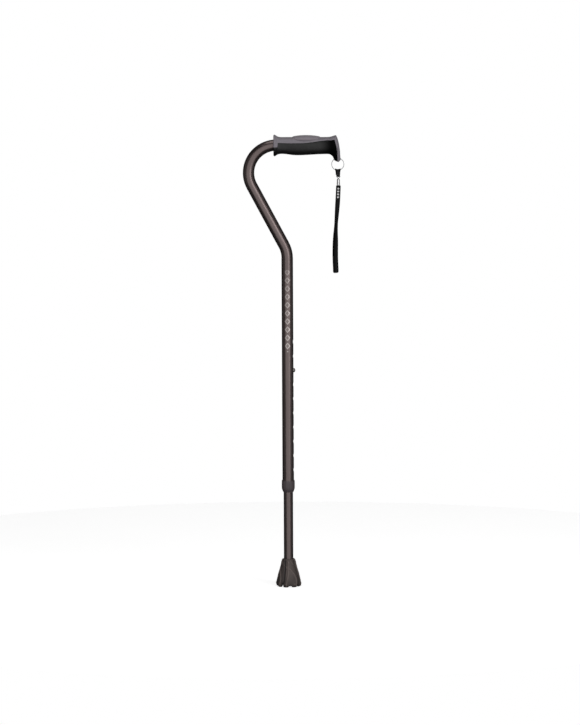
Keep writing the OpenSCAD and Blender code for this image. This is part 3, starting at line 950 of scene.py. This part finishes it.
def make_grip_body():
    """The black lower shell, with painted shade: its skin is painted darker, and less shiny,
    towards the hook and underneath.
    """
    body = grip_shell("grip_lower_body", False)
    s = moulded_material(
        "grip_black", (0.007, 0.007, 0.007), (0.012, 0.012, 0.012), (0.42, 0.55), 0.02, 1800,
    )
    leather_grain(s, 620, 0.04)
    x, _, z = s.axes()
    # Painted shade: the colour and the shine fall off towards the hook and towards the underside
    painted_light = s.spread(x, 0.056, 0.080, 1.0, 0.06, smooth=True)
    painted_light = s.times(painted_light, s.spread(z, 0.771, 0.790, 0.45, 1.0, smooth=True))
    s.link(s.times(painted_light, 0.42), s.surface.inputs["Specular IOR Level"])
    s.colour(s.mix(painted_light, (0.001, 0.001, 0.001), s.tone()))
    shade(body, s.material)
    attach(body, "upper_frame")
    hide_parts("grip_body")


def make_palm_pad():
    """The raised oval under the palm: crowned, with a rolled edge that sits in the cover."""
    stations = PAD_X + PAD_HALF_L * np.sin(np.linspace(-math.pi / 2, math.pi / 2, 61))
    rows = []
    for x in stations:
        start = seam_angle(x, curve_through(PAD_EDGE, x))
        lengthways = (x - PAD_X) / PAD_HALF_L
        outer, inner = [], []
        for t in np.linspace(-1, 1, 45):
            angle = math.pi / 2 - (math.pi / 2 - start) * t
            edge = max(abs(t), abs(lengthways))
            rim = math.sqrt(max(0.0, 1 - (t * t + lengthways**2 * (1 - t * t))))
            lift = 0.55 * min(1.0, rim * 4) + 2.75 * rim**1.4
            outer.append(grip_point(x, angle, -lift if edge < 1 else 0.0))
            inner.append(grip_point(x, angle, 0.7))
        rows.append(np.array([*outer, *inner[::-1]]))
    obj = sheet_mesh("palm_gel_pad", rows, wrap_cols=True, caps=True)
    s = moulded_material(
        "pad_mauve", (0.225, 0.198, 0.228), (0.275, 0.248, 0.275), (0.5, 0.62), 0.015, 2200,
        Specular_IOR_Level=0.4, Sheen_Weight=0.2,
    )
    leather_grain(s, 420, 0.03)
    _, _, z = s.axes()
    # Painted shade along the pad's lower edge: below this height the colour is darker
    above_painted_shade = s.spread(z, 0.7965, 0.8005, smooth=True)
    s.colour(s.mix(above_painted_shade, (0.150, 0.130, 0.150), s.tone()))
    shade(obj, s.material)
    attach(obj, "upper_frame")
    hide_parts("palm_pad")


# ---- ring, tab and swivel

RING_HALF_T = 0.65
RING_STEP_ANGLE = math.radians(150)
TURN_Y = 0.37  # from the ring's middle plane to the middle of one turn
ring_low, ring_high = box_mm("split_ring")
RING_X = (ring_low[0] + ring_high[0]) / 2
RING_Z = (ring_low[2] + ring_high[2]) / 2
RING_R = (ring_high[0] - ring_low[0]) / 2 - RING_HALF_T
RING_HOLE_Z = RING_Z + RING_R + 1.0
# The hole in the grip's tongue, wide on the inside: (radius, X)
RING_HOLE = [
    (0, 78), (6.6, 78), (5.8, 81), (2.75, 86.4), (2.55, 87), (2.55, 94.2), (2.8, 94.7), (4.2, 97),
    (0, 97),
]
cap_low, cap_high = box_mm("swivel_cap")
HANG_X = (cap_low[0] + cap_high[0]) / 2
CAP_LOW, CAP_TOP = cap_low[2], cap_high[2]
BAR_Z, PIN_Z = 731.4, 713.2


def make_split_ring():
    """Two turns of flat wire, pressed side by side, with the step where they change over."""
    path = []
    for a in np.linspace(0.05, 2 * TAU - 0.05, 300):
        y = TURN_Y * (smoothstep(TAU - 0.35, TAU + 0.35, a) * 2 - 1)
        direction = a + RING_STEP_ANGLE
        x, z = RING_R * math.cos(direction), RING_R * math.sin(direction)
        path.append((RING_X + x, y, RING_Z + z))
    corner = rounded([(-0.33, -0.62), (0.33, -0.62), (0.33, 0.62), (-0.33, 0.62)], 0.26, 4)
    centre = np.array([RING_X, 0, RING_Z])
    obj = sweep("split_ring_wire", path, corner, side=lambda i: np.array(path[i]) - centre)
    shade(obj, chrome_material("chrome_ring", (0.42, 0.42, 0.43)))
    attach(obj, "ring")
    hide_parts("split_ring")


def loop_section(half_w, thick, edge):
    """A strip of webbing end on: flat faces and rounded edges, with points across it."""
    half_t = thick / 2
    across = np.linspace(-half_w + edge, half_w - edge, 9)
    turns = np.linspace(0, math.pi, 6)[1:-1]
    low = [(a, -half_t) for a in across]
    right = [(half_w - edge + edge * math.sin(t), -half_t * math.cos(t)) for t in turns]
    high = [(a, half_t) for a in across[::-1]]
    left = [(-half_w + edge - edge * math.sin(t), half_t * math.cos(t)) for t in turns]
    return low + right + high + left


def loop_stops(top, low, heights, gaps):
    """A loop of webbing seen edge on, as (distance from its middle, height, direction of travel).
    top and low are its folds: (radius, height of the centre, points)."""
    stops = []
    for (radius, centre, count), start, side in ((top, 0, -1), (low, math.pi, 1)):
        for a in np.linspace(start, start + math.pi, count):
            stops.append((radius * math.cos(a), centre + radius * math.sin(a), a + math.pi / 2))
        leg = list(zip(gaps, heights))[::-side]
        stops += [(side * gap, z, math.pi - side * math.pi / 2) for gap, z in leg]
    return stops


def webbing_mesh(name, rows, path, across):
    """A closed band of webbing. Its uv is in millimetres, across the band and along the path."""
    steps = np.diff(np.vstack([path, path[:1]]), axis=0)
    length = np.concatenate([[0], np.cumsum(np.linalg.norm(steps, axis=1))])
    around = np.append(across, across[0])
    return sheet_mesh(
        name, rows, wrap_rows=True, wrap_cols=True, uv=lambda r, c: (around[c], length[r])
    )


# How far the tab reaches to each side of the strap's hanging line: (height, millimetres)
TAB_LEFT = [
    (730, 1.9), (731.2, 2.1), (732.4, 3.2), (734.2, 4.5), (739.3, 4.9), (741.6, 5.6), (744, 5.9),
]
TAB_RIGHT = [
    (730, 1.9), (731.2, 2.1), (732.4, 2.8), (734.2, 3.2), (739.3, 3.5), (741.6, 4.0), (744, 4.1),
]
TAB_TOP_R, TAB_BAR_R = 1.55, 1.0  # the webbing's centre line round the ring, and round the bar
TAB_LAYER = 0.62  # half the distance between the two layers
TAB_T = 1.05
RING_BOTTOM_Z = RING_Z - RING_R
ROW_STITCHES = 5


def tab_path():
    """The tab's closed centre line, as (Y, Z)."""
    neck = [
        (BAR_Z, TAB_BAR_R), (BAR_Z + 1.8, TAB_LAYER), (RING_BOTTOM_Z - 2.6, TAB_LAYER),
        (RING_BOTTOM_Z, TAB_TOP_R),
    ]
    heights = np.linspace(RING_BOTTOM_Z - 1.2, BAR_Z + 1.6, 12)
    top, low = (TAB_TOP_R, RING_BOTTOM_Z + 0.1, 13), (TAB_BAR_R, BAR_Z, 11)
    stops = loop_stops(top, low, heights, curve_through(neck, heights))
    return np.array([(y, z) for y, z, _ in stops])


def make_tab():
    """Webbing folded over the ring, narrowed and folded round the bail's bar."""
    path = tab_path()
    left = HANG_X - curve_through(TAB_LEFT, path[:, 1])
    right = HANG_X + curve_through(TAB_RIGHT, path[:, 1])
    section = np.array(loop_section(1.0, TAB_T, 0.12))
    rows = []
    for i, point in enumerate(path):
        along = path[(i + 1) % len(path)] - path[i - 1]
        along /= np.linalg.norm(along)
        out = np.array([along[1], -along[0]])
        follow = smoothstep(RING_BOTTOM_Z - 2.5, RING_BOTTOM_Z, point[1])
        wide = smoothstep(RING_BOTTOM_Z - 3.4, RING_BOTTOM_Z - 0.9, point[1])
        row = []
        for across, thick in section:
            x = (left[i] + right[i]) / 2 + across * (right[i] - left[i]) / 2 - RING_X
            rise = (RING_R - math.sqrt(RING_R**2 - x * x)) * follow
            flare = 1 + 0.019 * x * x * wide  # room for the wire when the tab swings
            y, z = point + out * thick
            row.append((RING_X + x, y * flare, z + rise))
        rows.append(row)
    obj = webbing_mesh("strap_tab_webbing", rows, path, section[:, 0] * 4.2)
    shade(obj, webbing_material("tab_webbing", 1.6, 1.3, 0.024))
    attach(obj, "tab")
    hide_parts("strap_tab")


def stitch(centre, along, out):
    """One stitch: a short thread that dips into the webbing at both ends."""
    path = [
        centre + along * 0.55 * t + out * (0.16 * (1 - t**4) - 0.12) for t in np.linspace(-1, 1, 9)
    ]
    return sweep("stitch", path, circle_section(0.15, 8), side=out)


def stitch_row(middle, across, out, pitch, lift):
    """A row of stitches on both faces of the webbing, each lift from its middle."""
    middle, across, out = (np.array(v, float) for v in (middle, across, out))
    parts = []
    for side in (-1, 1):
        for i in range(ROW_STITCHES):
            at = middle + across * (i - ROW_STITCHES // 2) * pitch + out * side * lift
            parts.append(stitch(at, across, out * side))
    return parts


def make_tab_stitching():
    """Two rows of stitches, below the ring."""
    parts = []
    for z in (735.0, 738.6):
        parts += stitch_row((HANG_X - 0.7, 0, z), (1, 0, 0), (0, 1, 0), 1.3, 1.17)
    obj = joined("tab_thread", parts)
    shade(obj, thread_material("tab_thread", (0.05, 0.05, 0.052)))
    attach(obj, "tab")
    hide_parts("tab_stitching")


# Half of the bail's wire: (X from the middle, height)
BAIL_SIDE = [
    (-0.8, CAP_TOP + 0.95), (-1.3, CAP_TOP + 1.5), (-2.4, 730.0), (-3.15, 730.85), (-3.3, 731.15),
    (-3.05, 731.4), (-1.6, BAR_Z), (0, BAR_Z),
]
# Turned outlines, as (radius, height) with the rounding of each corner
POST = [
    (0, CAP_TOP - 4.15), (1.05, CAP_TOP - 4.15), (1.05, CAP_TOP - 3.45), (0.58, CAP_TOP - 3.3),
    (0.58, CAP_TOP + 0.3), (1.25, CAP_TOP + 0.45), (1.25, CAP_TOP + 1.35), (0, CAP_TOP + 1.35),
]
POST_ROUND = [0, 0.2, 0.15, 0.05, 0.05, 0.25, 0.35, 0]
CAP = [
    (0, CAP_TOP - 5), (1.5, CAP_TOP - 5), (1.5, CAP_TOP - 2.9), (0.7, CAP_TOP - 2.4),
    (0.7, CAP_TOP), (1.7, CAP_TOP), (2.35, CAP_TOP - 0.6), (2.6, CAP_TOP - 1.8),
    (2.66, CAP_LOW + 3.6), (2.84, CAP_LOW + 3.0), (2.84, CAP_LOW), (0.66, CAP_LOW),
    (0.66, CAP_LOW + 2.5), (0, CAP_LOW + 2.5),
]
CAP_ROUND = [0, 0.1, 0.2, 0.1, 0.1, 0.5, 0.8, 0.8, 0.15, 0.3, 0.4, 0.15, 0.1, 0]
PIN_BAR = [(0, -3.3), (0.7, -3.3), (0.7, 3.3), (0, 3.3)]
PIN_STEM = [
    (0, PIN_Z), (0.6, PIN_Z), (0.6, CAP_LOW + 2.3), (0.5, CAP_LOW + 2.4), (0, CAP_LOW + 2.4),
]


def make_bail():
    """The wire in the tab's lower fold, and the headed post that the cap turns on."""
    half = [(HANG_X + x, 0, z) for x, z in BAIL_SIDE]
    other = [(HANG_X - x, 0, z) for x, z in BAIL_SIDE[-2::-1]]
    wire = sweep("bail_wire", smooth_path(half + other, 8), circle_section(0.50, 14), (0, 1, 0))
    post = revolve("bail_post", rounded(POST, POST_ROUND, 4), (HANG_X, 0, 0), sides=48)
    bail = joined("swivel_bail_wire", [wire, post])
    shade(bail, steel_material("bail_steel", (0.36, 0.36, 0.37), 0.28))
    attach(bail, "tab")
    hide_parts("swivel_bail")


def make_swivel_cap():
    """The hollow bell that turns on the post's head."""
    cap = revolve("swivel_cap_bell", rounded(CAP, CAP_ROUND, 5), (HANG_X, 0, 0), sides=72)
    shade(cap, chrome_material("chrome_swivel", (0.60, 0.60, 0.61)))
    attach(cap, "swivel")
    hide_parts("swivel_cap")


def make_strap_pin():
    """The cross pin in the strap's fold, on the stem that holds it in the cap."""
    centre = (HANG_X, 0, PIN_Z)
    bar = revolve("pin_bar", rounded(PIN_BAR, [0, 0.25, 0.25, 0], 4), centre, sides=36, axis="x")
    stem = revolve("pin_stem", PIN_STEM, (HANG_X, 0, 0), sides=32)
    pin = joined("strap_cross_pin", [bar, stem])
    shade(pin, steel_material("pin_steel", (0.7, 0.7, 0.71), 0.2))
    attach(pin, "swivel")
    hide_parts("strap_pin")


# ---- wrist strap

STRAP_T = 1.15
STRAP_HALF_W = 4.15
FOLD_R, LOW_R = 1.75, 2.7  # the webbing's centre line round the pin, and round the loop's end
LOW_Z = box_mm("wrist_strap")[0][2] + LOW_R + 0.6
# Against the height: the loop's X, half the distance between its legs, its twist in degrees
# from the camera's plane, and half the webbing's width
STRAP_X = [
    (565, 85.8), (590, 85.0), (625, 85.6), (645, 86.6), (665, 88.1), (690, 89.9), (PIN_Z, HANG_X),
]
STRAP_GAP = [(LOW_Z, LOW_R), (610, 2.5), (640, 1.45), (690, 0.68), (708.5, 0.68), (PIN_Z, FOLD_R)]
STRAP_TURN = [(575, 28), (600, 32), (622, 52), (645, 64), (668, 40), (690, 6), (700, 0)]
STRAP_WIDTH = [
    (LOW_Z - 3.3, 3.0), (LOW_Z - 2, 3.9), (LOW_Z, STRAP_HALF_W), (PIN_Z + 0.5, STRAP_HALF_W),
    (PIN_Z + 1.5, 3.7), (PIN_Z + 2.4, 3.0),
]
SLOT_HALF_W, SLOT_REACH = 0.9, 5.0


def strap_frame(z):
    """The loop's centre, its across direction and its outward direction at a height."""
    turn = math.radians(curve_through(STRAP_TURN, z))
    centre = np.array([curve_through(STRAP_X, z), 0.0, z])
    across = np.array([math.cos(turn), math.sin(turn), 0.0])
    out = np.array([-math.sin(turn), math.cos(turn), 0.0])
    return centre, across, out


def slot_cutter():
    """The wedge that lets the pin's stem out of the fold, over the strap's whole swing."""
    root = PIN_Z - 0.75 * math.sqrt(2)
    wedge = [(0, root), (SLOT_REACH, root + SLOT_REACH), (-SLOT_REACH, root + SLOT_REACH)]
    verts = [(HANG_X + side * SLOT_HALF_W, y, z) for side in (-1, 1) for y, z in wedge]
    sides = [[k, (k + 1) % 3, (k + 1) % 3 + 3, k + 3] for k in range(3)]
    return clean(new_object("slot", verts, [[2, 1, 0], [3, 4, 5], *sides]))


def make_strap():
    """A flat loop that hangs twisted, its fold slotted for the pin's stem."""
    rows, middle = [], []
    heights = np.linspace(PIN_Z - 1.2, LOW_Z + 1.5, 110)
    gaps = curve_through(STRAP_GAP, heights)
    for gap, z, heading in loop_stops((FOLD_R, PIN_Z, 15), (LOW_R, LOW_Z, 15), heights, gaps):
        centre, across, out = strap_frame(z)
        half_w = curve_through(STRAP_WIDTH, z)
        row = []
        for a, t in loop_section(half_w, STRAP_T, 0.4):
            thick = t - 0.10 * (a / half_w) ** 2
            x, y, _ = centre + across * a + out * (gap + math.sin(heading) * thick)
            row.append((x, y, z - math.cos(heading) * thick))
        rows.append(row)
        x, y, _ = centre + out * gap
        middle.append((x, y, z))
    across = [a for a, _ in loop_section(STRAP_HALF_W, STRAP_T, 0.4)]
    obj = webbing_mesh("wrist_strap_webbing", rows, middle, across)
    cut_away(obj, slot_cutter())
    smooth_below(obj, 45)
    shade(obj, webbing_material("strap_webbing", 1.5, 1.15, 0.013, marks=(6.6, 27.0, 4)))
    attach(obj, "strap")
    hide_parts("wrist_strap")


def make_strap_stitching():
    """Two rows of stitches, below the fold."""
    parts = []
    for z in (702.0, 706.0):
        lift = curve_through(STRAP_GAP, z) + STRAP_T / 2 - 0.04
        parts += stitch_row(*strap_frame(z), 1.35, lift)
    obj = joined("strap_thread", parts)
    shade(obj, thread_material("strap_thread", (0.07, 0.07, 0.072)))
    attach(obj, "strap")
    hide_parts("strap_stitching")


# ---- CAD pieces that stay


def dress_cad():
    """Materials for the tubes and for the pieces inside them, whose CAD meshes stay."""
    shade_cad("upper_tube", tube_material("tube_bronze_printed", printed=True))
    shade_cad("lower_tube", tube_material("tube_bronze"))
    nylon = moulded_material(
        "bush_nylon", (0.55, 0.55, 0.52), (0.66, 0.66, 0.63), (0.4, 0.5), 0.01, 1500
    )
    shade_cad("guide_bush", nylon.material)
    shade_cad("collet", nylon.material)
    shade_cad("tip_washer", steel_material("washer_zinc", (0.62, 0.61, 0.6), 0.3))
    shade_cad("button_spring", steel_material("spring_strip", (0.42, 0.42, 0.44), 0.25))


# ---- floor and light


FLOOR_RADIUS = 1.0
ROOM_LIGHT = 0.035
# Soft boxes: name, azimuth in degrees, height of the centre, distance, width, height, radiance
# and tilt
PANELS = [
    ("front", 2, 0.95, 2.2, 4.6, 3.4, 0.96, 0),
    ("key", 36, 1.1, 2.0, 0.8, 1.8, 1.9, 0),
    ("left", -80, 0.8, 2.4, 1.6, 2.6, 0.16, 0),
    ("right", 80, 0.8, 2.4, 1.6, 2.6, 0.22, 0),
    ("back", 180, 0.95, 2.4, 1.2, 2.6, 0.35, 0),
    ("top", 0, 2.8, 0.2, 1.6, 1.4, 1.6, 90),
]


def make_floor():
    """A plain pale disc, which the cane's own surfaces don't reflect."""
    bpy.ops.mesh.primitive_circle_add(vertices=160, radius=FLOOR_RADIUS, fill_type="NGON")
    floor = bpy.context.object
    floor.name = "studio_floor"
    s = Shader("studio_floor", Roughness=0.9, Specular_IOR_Level=0.0, Emission_Strength=0.72)
    s.surface.inputs["Emission Color"].default_value = (1, 1, 1, 1)
    s.colour(s.mix(s.noise(3, 3, 0.5), (0.86, 0.86, 0.86), (0.9, 0.9, 0.9)))
    shade(floor, s.material)
    floor.visible_glossy = False
    floor.visible_diffuse = False


def make_panel(name, azimuth, centre_z, distance, width, height, radiance, tilt):
    """A soft box on a circle round the object. Azimuth 0 is the camera's side."""
    data = bpy.data.lights.new(name, "AREA")
    data.shape = "RECTANGLE"
    data.size, data.size_y = width, height
    data.energy = radiance * math.pi * width * height
    lamp = bpy.data.objects.new(name, data)
    bpy.context.scene.collection.objects.link(lamp)
    turn = math.radians(azimuth)
    lamp.location = (distance * math.sin(turn), -distance * math.cos(turn), centre_z)
    lamp.rotation_euler = (math.radians(90 - tilt), 0, turn)
    lamp.visible_camera = False


def make_world():
    """White to the camera, and a dark room to everything else."""
    world = bpy.data.worlds.new("studio")
    bpy.context.scene.world = world
    world.use_nodes = True
    tree = world.node_tree
    tree.nodes.clear()
    out = tree.nodes.new("ShaderNodeOutputWorld")
    mix = tree.nodes.new("ShaderNodeMixShader")
    path = tree.nodes.new("ShaderNodeLightPath")
    room = tree.nodes.new("ShaderNodeBackground")
    white = tree.nodes.new("ShaderNodeBackground")
    room.inputs["Color"].default_value = (*[ROOM_LIGHT] * 3, 1)
    white.inputs["Color"].default_value = (1, 1, 1, 1)
    tree.links.new(path.outputs["Is Camera Ray"], mix.inputs["Fac"])
    tree.links.new(room.outputs[0], mix.inputs[1])
    tree.links.new(white.outputs[0], mix.inputs[2])
    tree.links.new(mix.outputs[0], out.inputs["Surface"])


def make_studio():
    make_floor()
    make_world()
    for panel in PANELS:
        make_panel(*panel)
    bpy.context.scene.view_settings.view_transform = "Standard"


# ---- build

make_camera()
make_tip()
make_lock_nut()
make_button()
make_split_ring()
make_grip_cover()
make_grip_body()
make_palm_pad()
make_tab()
make_tab_stitching()
make_bail()
make_swivel_cap()
make_strap_pin()
make_strap()
make_strap_stitching()
dress_cad()
make_studio()

bpy.context.view_layer.update()
